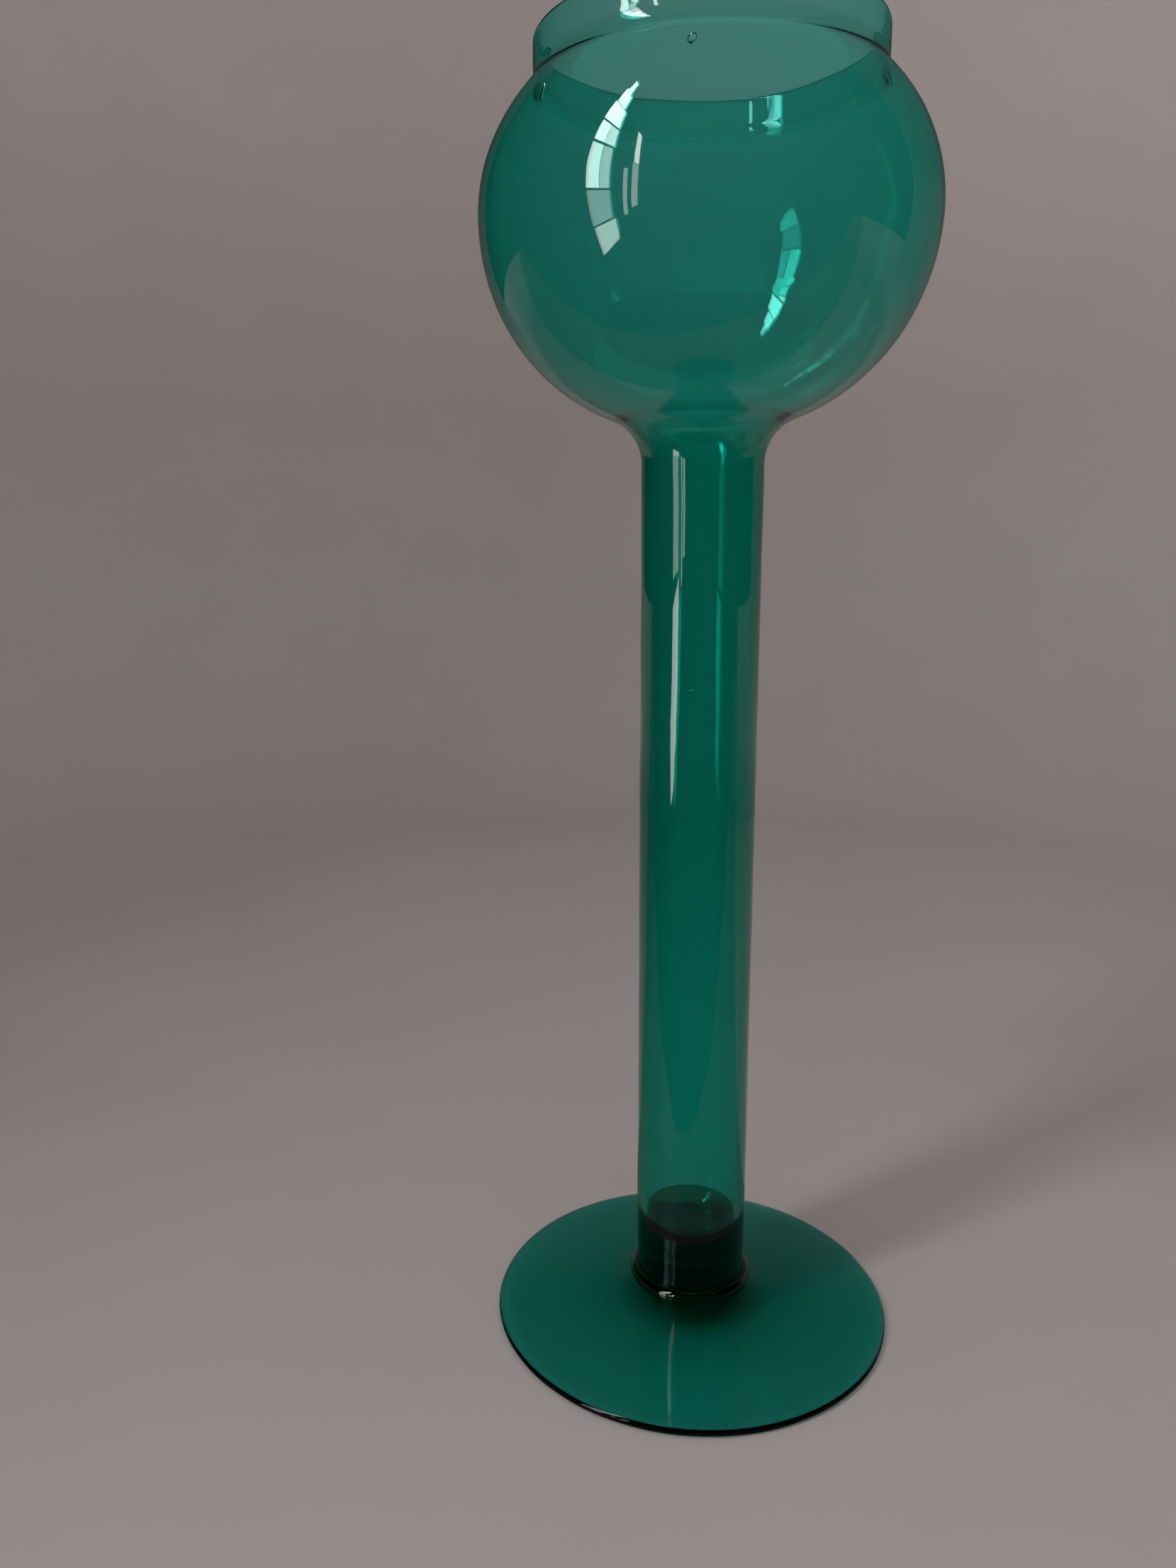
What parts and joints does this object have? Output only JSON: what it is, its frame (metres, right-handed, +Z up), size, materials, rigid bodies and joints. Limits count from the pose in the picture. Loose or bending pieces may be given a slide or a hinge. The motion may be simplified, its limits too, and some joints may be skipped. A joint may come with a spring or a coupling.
{
  "type": "stemmed globe vase",
  "caption": "Free-standing hand-blown glass vase: an open globe bowl with a short straight collar, on a long hollow stem and a wide disc foot.",
  "frame": {"origin": "centre of the plane that the foot rests on", "axes": "+Z up along the vase's axis, from foot to lip"},
  "size_m": [0.1006, 0.1006, 0.3],
  "materials": {
    "foot_glass": "fire-polished, clear teal green",
    "solid_glass": "fire-polished, so thick that it looks almost black",
    "stem_glass": "fire-polished, clear teal green",
    "bowl_glass": "fire-polished, clear teal green"
  },
  "bodies": {
    "root": {"disc_foot": "foot_glass", "merese_ring": "solid_glass", "stem_plug": "solid_glass", "hollow_stem": "stem_glass", "globe_bowl": "bowl_glass", "collar_rim": "bowl_glass"}
  },
  "joints": []
}
